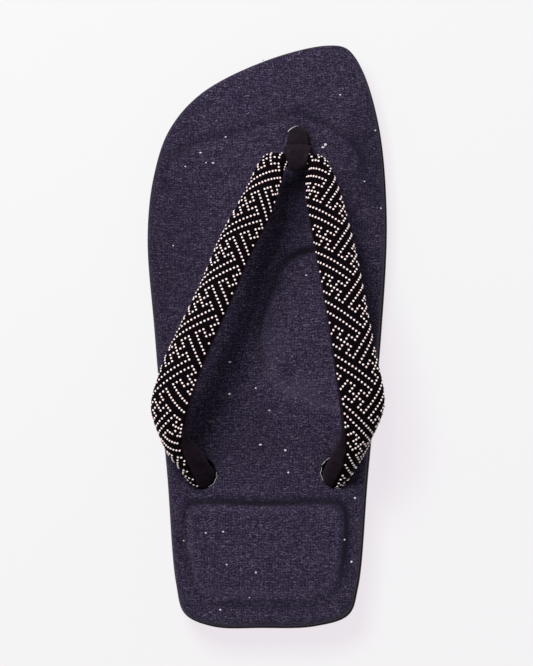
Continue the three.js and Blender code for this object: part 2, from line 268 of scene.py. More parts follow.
def weld(piece, distance):
    """Merges the twin points of a loft that closes on a middle line."""
    edit = bmesh.new()
    edit.from_mesh(piece.data)
    bmesh.ops.remove_doubles(edit, verts=edit.verts, dist=distance * MM)
    bmesh.ops.recalc_face_normals(edit, faces=edit.faces)
    edit.to_mesh(piece.data)
    edit.free()
    piece.data.shade_smooth()


def join_parts(name, parts):
    """One mesh piece from many small (points, faces) parts."""
    points, faces, first = [], [], 0
    for part_points, part_faces in parts:
        points.append(part_points)
        faces.extend(tuple(first + i for i in face) for face in part_faces)
        first += len(part_points)
    return new_piece(name, np.vstack(points), faces)


def mesh_points(piece):
    """The points of a piece's mesh in millimetres."""
    points = np.zeros(3 * len(piece.data.vertices))
    piece.data.vertices.foreach_get("co", points)
    return points.reshape(-1, 3) / MM


def store_painted_light_shade(piece, shade):
    """Keeps painted shade and painted light at each point for the materials: above 0 darker, below 0
    paler.
    """
    attribute = piece.data.attributes.new("painted_light_shade", "FLOAT", "POINT")
    attribute.data.foreach_set("value", shade)


def place(piece, slot, material, *nodes):
    """Puts a finished piece on the shoe, in place of the solids that it stands for."""
    if not piece.data.materials:
        piece.data.materials.append(material)
    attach(piece, "root")
    if nodes:
        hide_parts(*nodes)
    return piece


# Materials

# Where the colours sit among a mix node's inputs and outputs.
MIX_FIRST = 6
MIX_SECOND = 7
MIX_RESULT = 2
MAIN_GRAIN_SHARE = 0.6


def new_material(name, **sockets):
    """A material and its tree, with constants set on the shader's own sockets."""
    material = bpy.data.materials.new(name)
    material.use_nodes = True
    shader = material.node_tree.nodes["Principled BSDF"]
    for words, value in sockets.items():
        shader.inputs[words.replace("_", " ").title().replace("Ior", "IOR")].default_value = value
    return material, material.node_tree, shader


def add(tree, kind, inputs=None, **settings):
    """A node with its settings, and inputs that are numbers or other nodes' outputs."""
    node = tree.nodes.new(kind)
    for name, value in settings.items():
        setattr(node, name, value)
    for name, value in (inputs or {}).items():
        if isinstance(value, bpy.types.NodeSocket):
            tree.links.new(value, node.inputs[name])
        else:
            node.inputs[name].default_value = value
    return node


def calc(tree, operation, first, second=0.0, third=0.0):
    """One step of arithmetic on numbers or other nodes' outputs."""
    inputs = {0: first, 1: second, 2: third}
    return add(tree, "ShaderNodeMath", inputs, operation=operation).outputs[0]


def stretched(tree, coords, scale):
    """Coordinates scaled along each axis."""
    return add(tree, "ShaderNodeMapping", {"Vector": coords, "Scale": scale}).outputs[0]


def noise(tree, coords, scale=1.0, detail=2.0, rough=0.5):
    """A cloudy grain from 0 to 1."""
    inputs = {"Vector": coords, "Scale": scale, "Detail": detail, "Roughness": rough}
    return add(tree, "ShaderNodeTexNoise", inputs).outputs["Fac"]


def ramp(tree, factor, *stops):
    """A colour ramp with stops of (place, colour)."""
    node = add(tree, "ShaderNodeValToRGB", {"Fac": factor})
    elements = node.color_ramp.elements
    elements[0].position, elements[0].color = stops[0][0], (*stops[0][1], 1)
    elements[1].position, elements[1].color = stops[-1][0], (*stops[-1][1], 1)
    for at, colour in stops[1:-1]:
        elements.new(at).color = (*colour, 1)
    return node.outputs["Color"]


def tint(tree, factor, colour, other):
    """A colour from a node, drawn to another plain colour by a factor."""
    node = add(tree, "ShaderNodeMix", {"Factor": factor}, data_type="RGBA")
    tree.links.new(colour, node.inputs[MIX_FIRST])
    node.inputs[MIX_SECOND].default_value = (*other, 1)
    return node.outputs[MIX_RESULT]


def mixed(tree, main, minor):
    """Two grains in one tone, the first of them stronger."""
    weak = calc(tree, "MULTIPLY", minor, 1 - MAIN_GRAIN_SHARE)
    return calc(tree, "MULTIPLY_ADD", main, MAIN_GRAIN_SHARE, weak)


def bump(tree, shader, height, depth, strength):
    """Raises the surface by a depth in millimetres where the height is 1."""
    inputs = {"Height": height, "Distance": depth * MM, "Strength": strength}
    node = add(tree, "ShaderNodeBump", inputs)
    tree.links.new(node.outputs[0], shader.inputs["Normal"])


def millimetres(tree):
    """The shoe's own coordinates in millimetres."""
    coords = add(tree, "ShaderNodeTexCoord").outputs["Object"]
    return stretched(tree, coords, (1 / MM, 1 / MM, 1 / MM))


def over_edges(tree, coords):
    """Plan coordinates that run on down the walls, so that threads go over the edge."""
    x, y, z = add(tree, "ShaderNodeSeparateXYZ", {0: coords}).outputs
    turned = {0: calc(tree, "ADD", x, z), 1: calc(tree, "ADD", y, z), 2: z}
    return add(tree, "ShaderNodeCombineXYZ", turned).outputs[0]


# Colours

CLOTH_DARK = (0.0040, 0.0022, 0.0092)
CLOTH_MID = (0.0170, 0.0111, 0.0298)
CLOTH_LIGHT = (0.080, 0.062, 0.107)
CLOTH_FLECK = (0.18, 0.16, 0.20)
LINING_DARK = (0.0056, 0.0023, 0.0056)
LINING_LIGHT = (0.0172, 0.0086, 0.0168)
THONG_DARK = (0.0068, 0.0036, 0.0066)
THONG_LIGHT = (0.0190, 0.0114, 0.0182)
COVER_DARK = (0.0012, 0.0005, 0.0009)
COVER_LIGHT = (0.0050, 0.0026, 0.0041)
DOT_DARK = (0.97, 0.75, 0.735)
DOT_LIGHT = (1.0, 0.85, 0.835)
RUBBER_DARK = (0.015, 0.011, 0.012)
RUBBER_LIGHT = (0.030, 0.021, 0.022)
LEATHER_DARK = (0.22, 0.13, 0.10)
LEATHER_LIGHT = (0.47, 0.33, 0.27)
YARN_DARK = (0.42, 0.39, 0.44)
YARN_LIGHT = (0.78, 0.75, 0.78)

# Weave of the cloth

THREAD_PITCH = 0.62
CLOTH_TONE_SHIFT = -0.98
# How far the painted light draws the cloth towards its lightest colour.
PAINTED_PALE_SHARE = 0.5
# How the yarn strays from straight threads: waves in each millimetre, and reach.
DRIFT_SCALE = 0.2
DRIFT_REACH = 1.7
# Slubs, fibres and pale dashes: changes in each millimetre across, along and up.
WEFT_SLUB = (0.16, 1.5, 0.16)
WARP_SLUB = (1.5, 0.12, 0.12)
FIBRE = (1.4, 2.0, 2.0)
DASH = (0.45, 2.6, 2.6)
SLUB_ROUGHNESS = 0.62
# How much slubs, fibres and the weave add to the tone, and the crossings to the weave.
WEFT_SLUB_SHARE = 0.6
WARP_SLUB_SHARE = 0.45
FIBRE_SHARE = 1.9
WEAVE_SHARE = 0.06
CROSSING_SHARE = 0.6
# How pale the dashes and flecks are.
DASH_SHARE = 0.4
FLECK_SHARE = 0.6
# A dash shows where its noise passes a level. A fleck sits in the middle of a cell, in those cells
# whose chance passes a level.
DASH_OVER = 0.72
FLECK_CELLS = 0.33
FLECK_SIZE = 0.11
FLECK_OVER = 0.72
# How the crossings stand up from the middle of the weave.
CROSSING_HEIGHT = 0.25
MIDDLE_HEIGHT = 0.5


def yarn_coords(tree):
    """Coordinates along uneven yarns, in millimetres."""
    mm = over_edges(tree, millimetres(tree))
    drift = add(tree, "ShaderNodeTexNoise", {"Vector": mm, "Scale": DRIFT_SCALE, "Detail": 1.0})
    stray = {0: drift.outputs["Color"], "Scale": DRIFT_REACH}
    wander = add(tree, "ShaderNodeVectorMath", stray, operation="SCALE").outputs[0]
    return add(tree, "ShaderNodeVectorMath", {0: mm, 1: wander}, operation="ADD").outputs[0]


def plain_weave(tree, yarn):
    """The crossings of the threads, and the weave's light and dark."""
    axes = add(tree, "ShaderNodeSeparateXYZ", {0: yarn})
    turn = math.pi / THREAD_PITCH
    warp = calc(tree, "SINE", calc(tree, "MULTIPLY", axes.outputs[0], turn))
    weft = calc(tree, "SINE", calc(tree, "MULTIPLY", axes.outputs[1], turn))
    crossings = calc(tree, "MULTIPLY", warp, weft)
    weave = calc(tree, "MULTIPLY_ADD", crossings, CROSSING_SHARE, calc(tree, "ADD", warp, weft))
    return crossings, weave


def yarn_grain(tree, yarn):
    """Thick and thin places of the yarns with their fibres."""
    weft_slub = noise(tree, stretched(tree, yarn, WEFT_SLUB), detail=3.0, rough=SLUB_ROUGHNESS)
    warp_slub = noise(tree, stretched(tree, yarn, WARP_SLUB), detail=3.0, rough=SLUB_ROUGHNESS)
    fibre = noise(tree, stretched(tree, yarn, FIBRE), detail=1.0, rough=0.5)
    weft_tone = calc(tree, "MULTIPLY", weft_slub, WEFT_SLUB_SHARE)
    slubs = calc(tree, "MULTIPLY_ADD", warp_slub, WARP_SLUB_SHARE, weft_tone)
    return calc(tree, "MULTIPLY_ADD", fibre, FIBRE_SHARE, slubs)


def pale_flecks(tree, yarn):
    """How pale the cloth is at short dashes of undyed yarn and at scattered flecks."""
    cells = add(tree, "ShaderNodeTexVoronoi", {"Vector": yarn, "Scale": FLECK_CELLS})
    streaks = noise(tree, stretched(tree, yarn, DASH), detail=0.0)
    dash = calc(tree, "GREATER_THAN", streaks, DASH_OVER)
    near = calc(tree, "LESS_THAN", cells.outputs["Distance"], FLECK_SIZE)
    chance = add(tree, "ShaderNodeSeparateColor", {0: cells.outputs["Color"]}).outputs[0]
    fleck = calc(tree, "MULTIPLY", near, calc(tree, "GREATER_THAN", chance, FLECK_OVER))
    return calc(tree, "MULTIPLY_ADD", dash, DASH_SHARE, calc(tree, "MULTIPLY", fleck, FLECK_SHARE))


def cloth_material():
    """Plain weave of dark indigo yarn with uneven paler weft, slubs and flecks."""
    material, tree, shader = new_material(
        "cloth", roughness=0.95, specular_ior_level=0.12, sheen_weight=0.05, sheen_roughness=0.6)
    yarn = yarn_coords(tree)
    crossings, weave = plain_weave(tree, yarn)
    woven = calc(tree, "MULTIPLY_ADD", weave, WEAVE_SHARE, yarn_grain(tree, yarn))
    tone = calc(tree, "ADD", woven, CLOTH_TONE_SHIFT)
    colour = ramp(tree, tone, (0.0, CLOTH_DARK), (0.5, CLOTH_MID), (1.0, CLOTH_LIGHT))
    flecked = tint(tree, pale_flecks(tree, yarn), colour, CLOTH_FLECK)
    # Painted shade and painted light from the stored attribute: paler below 0, darker above 0.
    painted_light_shade = add(tree, "ShaderNodeAttribute", attribute_name="painted_light_shade").outputs["Fac"]
    painted_pale = tint(tree, calc(tree, "MULTIPLY", painted_light_shade, -PAINTED_PALE_SHARE), flecked, CLOTH_LIGHT)
    tree.links.new(tint(tree, painted_light_shade, painted_pale, CLOTH_DARK), shader.inputs["Base Color"])
    height = calc(tree, "MULTIPLY_ADD", crossings, CROSSING_HEIGHT, MIDDLE_HEIGHT)
    bump(tree, shader, height, depth=0.22, strength=0.7)
    return material


def suede_material(name, dark, light):
    """Short brushed nap with soft cloudy shading."""
    material, tree, shader = new_material(
        name, roughness=0.96, specular_ior_level=0.05, sheen_weight=0.02, sheen_roughness=0.5)
    mm = millimetres(tree)
    nap = noise(tree, mm, scale=1.5, detail=4.0, rough=0.75)
    cloud = noise(tree, mm, scale=0.3, detail=2.0)
    tone = mixed(tree, nap, cloud)
    colour = ramp(tree, tone, (0.38, dark), (0.62, light))
    # Painted shade where a piece stores it, as the thong does; the lining stores none.
    painted_light_shade = add(tree, "ShaderNodeAttribute", attribute_name="painted_light_shade").outputs["Fac"]
    tree.links.new(tint(tree, painted_light_shade, colour, dark), shader.inputs["Base Color"])
    bump(tree, shader, nap, depth=0.25, strength=0.6)
    return material


def cover_material():
    """Black strap cover with a fine close grain under its dots."""
    material, tree, shader = new_material("strap_cover", roughness=0.9, specular_ior_level=0.03)
    grain = noise(tree, millimetres(tree), scale=2.4, detail=3.0, rough=0.6)
    colour = ramp(tree, grain, (0.3, COVER_DARK), (0.75, COVER_LIGHT))
    tree.links.new(colour, shader.inputs["Base Color"])
    bump(tree, shader, grain, depth=0.12, strength=0.6)
    return material


def dot_material():
    """Raised cream lacquer, a little uneven from dot to dot."""
    material, tree, shader = new_material(
        "cream_dots", roughness=0.38, specular_ior_level=0.7, coat_weight=0.5, coat_roughness=0.22)
    mm = millimetres(tree)
    shade = noise(tree, mm, scale=0.7, detail=2.0)
    colour = ramp(tree, shade, (0.3, DOT_DARK), (0.65, DOT_LIGHT))
    tree.links.new(colour, shader.inputs["Base Color"])
    bump(tree, shader, noise(tree, mm, scale=5.0), depth=0.05, strength=0.4)
    return material


def rubber_material():
    """Dark brown-black sole with a fine moulded grain."""
    material, tree, shader = new_material("sole_rubber", specular_ior_level=0.35)
    grain = noise(tree, millimetres(tree), scale=1.6, detail=4.0, rough=0.65)
    colour = ramp(tree, grain, (0.3, RUBBER_DARK), (0.7, RUBBER_LIGHT))
    tree.links.new(colour, shader.inputs["Base Color"])
    shine = add(tree, "ShaderNodeMapRange", {"Value": grain, "To Min": 0.55, "To Max": 0.8})
    tree.links.new(shine.outputs[0], shader.inputs["Roughness"])
    bump(tree, shader, grain, depth=0.15, strength=0.6)
    return material


# Changes in each millimetre across, along and up through the layers of leather.
LEATHER_LAYERS = (0.04, 0.04, 1.3)


def leather_material():
    """Tan stacked leather with fine layers in its edge."""
    material, tree, shader = new_material("heel_leather", specular_ior_level=0.35)
    mm = millimetres(tree)
    layers = noise(tree, stretched(tree, mm, LEATHER_LAYERS), detail=3.0)
    fibre = noise(tree, mm, scale=0.9, detail=4.0, rough=0.65)
    tone = mixed(tree, layers, fibre)
    colour = ramp(tree, tone, (0.3, LEATHER_DARK), (0.7, LEATHER_LIGHT))
    tree.links.new(colour, shader.inputs["Base Color"])
    shine = add(tree, "ShaderNodeMapRange", {"Value": fibre, "To Min": 0.45, "To Max": 0.7})
    tree.links.new(shine.outputs[0], shader.inputs["Roughness"])
    bump(tree, shader, tone, depth=0.2, strength=0.5)
    return material


def thread_material():
    """Undyed pale yarn of the neps and frayed ends."""
    material, tree, shader = new_material("pale_yarn", roughness=0.9, specular_ior_level=0.2)
    fuzz = noise(tree, millimetres(tree), scale=2.5, detail=3.0)
    colour = ramp(tree, fuzz, (0.3, YARN_DARK), (0.7, YARN_LIGHT))
    tree.links.new(colour, shader.inputs["Base Color"])
    bump(tree, shader, fuzz, depth=0.1, strength=0.5)
    return material


# Sole, heel lift and footbed

SOLE_HALF_STEPS = 160
BED_HALF_STEPS = 330
BED_TOP_ROWS = 84
FLAT_SHARES = [0, 0.3, 0.6, 0.85]
ROUND_STEPS = 7
LIFT_CORNER_STEPS = 13
WELD_REACH = 0.01


def rounded(inset, rise, face, turns_in):
    """Rows of a quarter-round edge: from the flat face to the wall, or back in to the flat face."""
    angles = np.linspace(0, math.pi / 2, ROUND_STEPS)
    if turns_in:
        return [(inset * (1 - math.cos(a)), face, -rise * (1 - math.sin(a))) for a in angles]
    return [(inset * (1 - math.sin(a)), face, rise * (1 - math.cos(a))) for a in angles]


def plate(edge, wall, under, top, top_shares):
    """Rings of a closed layer, from the middle of its underside to the middle of its top."""
    def lifted(loop, height, rise=0.0):
        return np.column_stack([loop, height(loop[:, 1]) + rise])

    sides = [(inset_loop(edge, inset), top if face == "top" else under, rise)
             for inset, face, rise in wall]
    below = [lifted(toward_spine(sides[0][0], share), under) for share in FLAT_SHARES]
    above = [lifted(toward_spine(sides[-1][0], share), top) for share in top_shares]
    return np.array(below + [lifted(*side) for side in sides] + above)


def plate_piece(name, rings):
    """The mesh of a closed layer."""
    rows, size, _ = rings.shape
    piece = new_piece(name, rings.reshape(-1, 3), ring_faces(rows, size))
    weld(piece, WELD_REACH)
    return piece


def outsole():
    """The full-length sole with its edges eased."""
    wall = rounded(inset=1, rise=1.2, face="under", turns_in=False)
    wall += rounded(inset=0.4, rise=0.5, face="top", turns_in=True)
    rings = plate(sole_loop(SOLE_HALF_STEPS), wall, sole_underside, sole_top, FLAT_SHARES[::-1])
    return plate_piece("outsole_rubber", rings)


def heel_lift():
    """The low lift under the heel, with its corners rounded in plan and its edges eased."""
    corners = np.array(LIFT_CORNERS, float)
    loop = []
    for i, (x, y, radius) in enumerate(corners):
        here = np.array([x, y])
        start = here + radius * unit(corners[i - 1, :2] - here)
        end = here + radius * unit(corners[(i + 1) % len(corners), :2] - here)
        for t in np.linspace(0, 1, LIFT_CORNER_STEPS):
            loop.append(start * (1 - t) ** 2 + 2 * here * t * (1 - t) + end * t**2)
    loop = np.array(loop)
    below = rounded(inset=0.8, rise=0.9, face="under", turns_in=False)
    above = rounded(inset=0.4, rise=0.4, face="top", turns_in=True)
    wall = [(inset, rise) for inset, _, rise in below]
    wall += [(inset, LIFT_HEIGHT + rise) for inset, _, rise in above]
    rings = [np.column_stack([inset_loop(loop, inset), np.full(len(loop), z)]) for inset, z in wall]
    return new_piece("heel_lift_leather", np.vstack(rings), capped_faces(len(rings), len(loop)))


RECESS_EDGE_FROM = -2.4
RECESS_EDGE_TO = 1.2
RECESS_GROOVE = 0.35
RECESS_GROOVE_WIDTH = 1.0
SWELL_REACH = 20
RECESS_LOOP_STEPS = 14


def recess_loop(rows):
    """The closed curve round a recess."""
    steps = len(rows) * RECESS_LOOP_STEPS
    return catmull_rom(rows, np.arange(steps) / steps, closed=True)


def recess_relief(plan):
    """How far the cloth sinks into the recesses, with a pressed line at the foot of each wall."""
    rise = np.zeros(len(plan))
    for depth, swell, rows in RECESSES.values():
        inside = signed_distance(plan, recess_loop(rows))
        rise -= depth * smoothstep(inside, RECESS_EDGE_FROM, RECESS_EDGE_TO)
        rise += swell * smoothstep(inside, RECESS_EDGE_TO, SWELL_REACH)
        rise -= RECESS_GROOVE * depth * hump(inside - RECESS_EDGE_TO, RECESS_GROOVE_WIDTH)
    return rise


# Painted shade at the edges of the recesses: a dark line all round, more of it on the side that faces
# the way x, y, less or painted light opposite. Columns: line, side, x, y.
PAINTED_EDGE_SHADE = {
    "toe_bar": (0.27, 0.1, 0.7, 0.71),
    "arch": (0.2, 0.65, 0, 1),
    "heel": (0.5, 0.33, 0.8, 0.6),
}
PAINTED_EDGE_AT = -0.3
PAINTED_EDGE_OUTER_WIDTH = 2.4
PAINTED_EDGE_INNER_WIDTH = 1.1
PAINTED_EDGE_STEP = 0.3
PAINTED_PALE_AT = 2.6
PAINTED_PALE_WIDTH = 1.7
PAINTED_PALE_LINE = 0.5
# Broad patches of painted shade, and of painted light below 0: x, y, reach across, reach along,
# strength.
PAINTED_SHADE_PATCHES = [
    (0, -54, 60, 20, 0.16),
    (-6, -38, 16, 20, 0.22),
    (-48, 35, 24, 70, 0.36),
    (47, 80, 12, 28, 0.5),
    (17, 66, 9, 33, 0.55),
    (13, 69, 6, 7, 0.3),
    (36.5, -97, 4, 20, 0.35),
    (-39.5, -100, 3, 18, 0.25),
    (0, -124.5, 32, 2.5, 0.35),
    (49, -5, 6, 40, 0.3),
    (3, -4, 6, 14, -0.3),
    (17, -26, 12, 5, -0.35),
]


def painted_light_and_shade(plan):
    """Painted shade and painted light on the cloth, in broad patches and round the recesses."""
    shade = np.zeros(len(plan))
    for x, y, across, along, strength in PAINTED_SHADE_PATCHES:
        shade += strength * hump(plan[:, 0] - x, across) * hump(plan[:, 1] - y, along)
    for name, (line, side, *way) in PAINTED_EDGE_SHADE.items():
        loop = recess_loop(RECESSES[name][-1])
        inside = signed_distance(plan, loop)
        ahead = signed_distance(plan + PAINTED_EDGE_STEP * np.array(way), loop)
        facing = (inside - ahead) / PAINTED_EDGE_STEP
        width = np.where(inside < PAINTED_EDGE_AT, PAINTED_EDGE_OUTER_WIDTH, PAINTED_EDGE_INNER_WIDTH)
        shade += hump(inside - PAINTED_EDGE_AT, width) * (line + side * facing)
        shade -= PAINTED_PALE_LINE * line * hump(inside - PAINTED_PALE_AT, PAINTED_PALE_WIDTH)
    return shade


HOLE_SNUG = {"front": 1.0, "lateral": 0.9, "medial": 0.9}
LIP_DROP = 1.1
LIP_REACH = 2.2
WELL_WALL_SHARE = 0.45
WELL_TAPER = 0.05


def sink_holes(points):
    """Draws the cloth down into the strap's holes as smooth-lipped wells."""
    depth = BED_THICKNESS - FIT_GAP
    for name, (x, y, along, across, turn) in HOLES.items():
        offset = points[:, :2] - (x, y)
        turned = np.column_stack([
            offset[:, 0] * math.cos(turn) + offset[:, 1] * math.sin(turn),
            offset[:, 1] * math.cos(turn) - offset[:, 0] * math.sin(turn)])
        size = np.array([along, across]) * HOLE_SNUG[name]
        reach = np.linalg.norm(turned / size, axis=1)
        beyond = np.maximum(reach - 1, 0) * size.mean()
        lip = LIP_DROP * hump(beyond, LIP_REACH)
        down = smoothstep(1 - reach, 0, WELL_WALL_SHARE)
        points[:, 2] -= lip + np.where(reach < 1, down * (depth - LIP_DROP), 0)
        floor = 1 - WELL_WALL_SHARE
        wall = 1 - WELL_TAPER * (1 - reach) / WELL_WALL_SHARE
        spread = np.where(reach > floor, wall, reach * (1 - WELL_TAPER) / floor)
        widen = np.where(reach < 1, spread / np.maximum(reach, TINY), 1)
        points[:, :2] = (x, y) + offset * widen[:, None]


def footbed():
    """The cloth-wrapped bed with its recesses and holes."""
    wall = rounded(inset=1, rise=1.4, face="under", turns_in=False)
    wall += rounded(inset=3.4, rise=3, face="top", turns_in=True)
    edge = inset_loop(sole_loop(BED_HALF_STEPS), BED_SETBACK)
    shares = np.linspace(1, 0, BED_TOP_ROWS + 1)[1:]
    rings = plate(edge, wall, bed_underside, bed_top, shares)
    top = rings[-BED_TOP_ROWS:].reshape(-1, 3)
    top[:, 2] += recess_relief(top[:, :2])
    sink_holes(top)
    rings[-BED_TOP_ROWS:] = top.reshape(BED_TOP_ROWS, -1, 3)
    piece = plate_piece("footbed_cloth", rings)
    # Painted shade and painted light, kept at each point of the cloth.
    store_painted_light_shade(piece, painted_light_and_shade(mesh_points(piece)[:, :2]))
    return piece


def cloth_height(plan):
    """The height of the cloth away from the holes."""
    return bed_top(plan[:, 1]) + recess_relief(plan)


# Pale neps spun into the cloth: x, y, length, width.
NEPS = [
    (-19.2, 92.5, 1.0, 0.8), (-30.9, 85.2, 1.5, 0.8), (-28.4, 80.4, 0.9, 0.6), (-25, 80.3, 1.6, 0.8),
    (-38, 78.8, 1.0, 0.8), (26.2, 87.1, 1.7, 1.0), (27.3, 88.3, 1.6, 1.5), (34.4, 111.4, 1.1, 0.7),
    (-1.5, 127.9, 1.0, 0.6), (50.6, 94.6, 0.9, 0.7), (45.4, 70.7, 0.9, 0.7), (53, 58, 0.7, 0.9),
    (18.3, 27.2, 1.0, 0.9), (-43.5, 41.4, 0.9, 0.6), (-16.7, -13.6, 1.5, 1.0), (-16.7, -28.6, 1.4, 1.1),
    (-4.7, -25.9, 1.0, 0.9), (1.6, -36.3, 1.0, 0.7), (-2.4, -52.1, 1.6, 0.9), (9, -54.8, 1.3, 1.1),
    (10.3, -64.9, 1.1, 1.0), (40.6, -76.6, 1.2, 1.1), (-27.4, -92.1, 0.9, 0.8), (-19.5, -91.6, 1.1, 1.0),
    (-37.4, -95.6, 0.9, 0.7), (35.8, -95.4, 1.0, 0.9), (38.9, -105.4, 1.3, 1.1),
    (-17.8, -106.5, 1.0, 0.8), (-4.5, -110.1, 1.0, 1.0), (-20.6, -126.9, 1.0, 1.0),
    (-7.5, -121.5, 0.8, 0.7),
]
NEP_SEED = 7
NEP_SIDES = 8
NEP_UNEVENNESS = 0.3
NEP_RISE = 0.28
# Rings of a nep from its edge to its crown: share of its size, rise over the cloth.
NEP_RINGS = [(1.0, -0.15), (0.85, 0.5 * NEP_RISE), (0.45, NEP_RISE)]


def nep_part(x, y, length, width, chance):
    """A flat knotted blob of yarn, uneven round its edge, lying on the cloth."""
    angles = np.arange(NEP_SIDES) * 2 * math.pi / NEP_SIDES
    uneven = 1 + NEP_UNEVENNESS * (chance.random(NEP_SIDES) - 0.5)
    shape = np.column_stack([np.cos(angles) * length, np.sin(angles) * width]) / 2 * uneven[:, None]
    plan = np.vstack([shape * share for share, _ in NEP_RINGS]) + (x, y)
    base = cloth_height(np.array([[x, y]]))[0]
    heights = np.repeat([base + rise for _, rise in NEP_RINGS], NEP_SIDES)
    return np.column_stack([plan, heights]), capped_faces(len(NEP_RINGS), NEP_SIDES)


def neps():
    """All the neps in one piece."""
    chance = np.random.default_rng(NEP_SEED)
    return join_parts("cloth_neps", [nep_part(*row, chance) for row in NEPS])


# Frayed yarn along the rims of the holes:
# hole, first angle, last angle, count, share of the hole's size.
FRAYS = [
    ("front", 1.75, 2.6, 7, 1.1),
    ("lateral", 0.2, 1.1, 4, 1),
    ("medial", 4.2, 5.5, 6, 1),
    ("medial", 0.5, 0.95, 2, 1),
]
FRAY_SEED = 11
FRAY_RADIUS = 0.1
FRAY_STEPS = 6
FRAY_SIDES = 4
FRAY_LIFT = 0.15
# Least and most of a yarn's half sweep round the rim, and of its reach at each end,
# in sizes of the hole.
FRAY_SWEEP = (0.1, 0.22)
FRAY_START = (0.97, 1.03)
FRAY_END = (0.97, 1.09)
FRAY_SCATTER = 0.08
# A way that no yarn runs along.
NEARLY_UP = (0.3, 0.2, 1)


def tube_part(path, radius):
    """A thin closed tube along a short path."""
    along = unit(np.gradient(path, axis=0))
    side = unit(np.cross(along, NEARLY_UP))
    up = np.cross(along, side)
    rings = []
    for i in range(FRAY_SIDES):
        angle = 2 * math.pi * i / FRAY_SIDES
        rings.append(path + radius * (side * math.cos(angle) + up * math.sin(angle)))
    points = np.stack(rings, axis=1).reshape(-1, 3)
    return points, capped_faces(len(path), FRAY_SIDES)


def fray_path(name, angle, rim, chance):
    """One yarn's path along the rim of a hole."""
    x, y, along, across, turn = HOLES[name]
    sweep = chance.uniform(*FRAY_SWEEP)
    start = chance.uniform(*FRAY_START)
    end = chance.uniform(*FRAY_END)
    reach = rim * np.linspace(start, end, FRAY_STEPS)
    turns = angle + chance.normal(0, FRAY_SCATTER) + sweep * np.linspace(-1, 1, FRAY_STEPS)
    plan = np.column_stack([np.cos(turns) * along, np.sin(turns) * across]) * reach[:, None]
    plan *= HOLE_SNUG[name]
    spun = np.column_stack([
        plan[:, 0] * math.cos(turn) - plan[:, 1] * math.sin(turn) + x,
        plan[:, 0] * math.sin(turn) + plan[:, 1] * math.cos(turn) + y])
    drop = LIP_DROP * hump(np.maximum(reach - 1, 0) * along, LIP_REACH)
    return np.column_stack([spun, cloth_height(spun) - drop + FRAY_LIFT])


def frays():
    """All the frayed yarn in one piece."""
    chance = np.random.default_rng(FRAY_SEED)
    parts = []
    for name, first, last, count, rim in FRAYS:
        for angle in np.linspace(first, last, count):
            parts.append(tube_part(fray_path(name, angle, rim, chance), FRAY_RADIUS))
    return join_parts("frayed_yarn", parts)


# Strap

STRAP_RINGS = 264
STRAP_SIDES = 56
COVER_OUTER = -0.75
COVER_INNER = math.pi - 0.12
# How far the cover draws back from the inner edge at the strap's ends:
# turn, and the rows that it grows between.
LATERAL_DRAW = (0.5, 3.4, 1.2)
MEDIAL_DRAW = (0.25, 20.5, 22.5)
SEAM_DEPTH = 0.06
SEAM_WIDTH = 0.1


def cover_inner(shares):
    """The angle at which the cover meets the lining, on the strap's inner side."""
    rows = shares * (len(STRAP_ROWS) - 1)
    angle = np.full(len(rows), COVER_INNER)
    for turn, start, end in (LATERAL_DRAW, MEDIAL_DRAW):
        angle -= turn * smoothstep((rows - start) / (end - start), 0, 1)
    return angle


def strap_points(shares, angles):
    """Points on the strap's skin, at shares along its rows and angles round its section.

    The angle is 0 at the outer edge and a quarter turn at the middle of the face.
    """
    step = 1e-4
    outer = catmull_rom(STRAP_ROWS[:, 0:3], shares)
    inner = catmull_rom(STRAP_ROWS[:, 3:6], shares)
    ahead, behind = np.minimum(shares + step, 1), np.maximum(shares - step, 0)
    along = sum(unit(catmull_rom(edge, ahead) - catmull_rom(edge, behind))
                for edge in (STRAP_ROWS[:, 0:3], STRAP_ROWS[:, 3:6]))
    numbered = np.column_stack([np.arange(len(STRAP_ROWS)), STRAP_ROWS[:, 6]])
    thick = catmull_rom(numbered, shares)[:, 1]
    middle = (outer + inner) / 2
    half = outer - middle
    face = unit(np.cross(along, half))
    across = np.sign(np.cos(angles)) * np.abs(np.cos(angles)) ** STRAP_SQUARENESS
    share = np.where(np.sin(angles) > 0, STRAP_FACE_SHARE, 1 - STRAP_FACE_SHARE)
    out = thick * share * np.sin(angles)
    seam = SEAM_DEPTH * sum(hump(np.angle(np.exp(1j * (angles - at))), SEAM_WIDTH)
                            for at in (COVER_OUTER, cover_inner(shares)))
    return middle + (half * across[:, None] + face * out[:, None]) * (1 - seam)[:, None]


def strap(cover, lining):
    """One padded tube, covered on its face and lined behind."""
    shares = np.repeat(np.linspace(0, 1, STRAP_RINGS), STRAP_SIDES)
    round_section = np.arange(STRAP_SIDES) * 2 * math.pi / STRAP_SIDES
    angles = np.tile(round_section, STRAP_RINGS)
    points = strap_points(shares, angles)
    piece = new_piece("strap_tube", points, capped_faces(STRAP_RINGS, STRAP_SIDES))
    piece.data.materials.append(cover)
    piece.data.materials.append(lining)
    middle = np.mod(angles[:-STRAP_SIDES] + math.pi / STRAP_SIDES - COVER_OUTER, 2 * math.pi)
    slots = np.where(middle < cover_inner(shares[:-STRAP_SIDES]) - COVER_OUTER, 0, 1)
    piece.data.polygons.foreach_set("material_index", np.append(slots, [1, 1]).astype(np.int32))
    return piece


# Key fret of dots: one arm of a hooked cross on a square grid, as corners (column, row).
DOT_PITCH = 1.8
DOT_RADIUS = 0.54
DOT_RISE = 0.4
DOT_SIDES = 8
FRET_ARM = [(0, 0), (0, -2), (2, -2), (2, -4), (-12, -4)]
FRET_ARMS = 4
FRET_SPACING = 10
FRET_REPEAT = 2 * FRET_SPACING
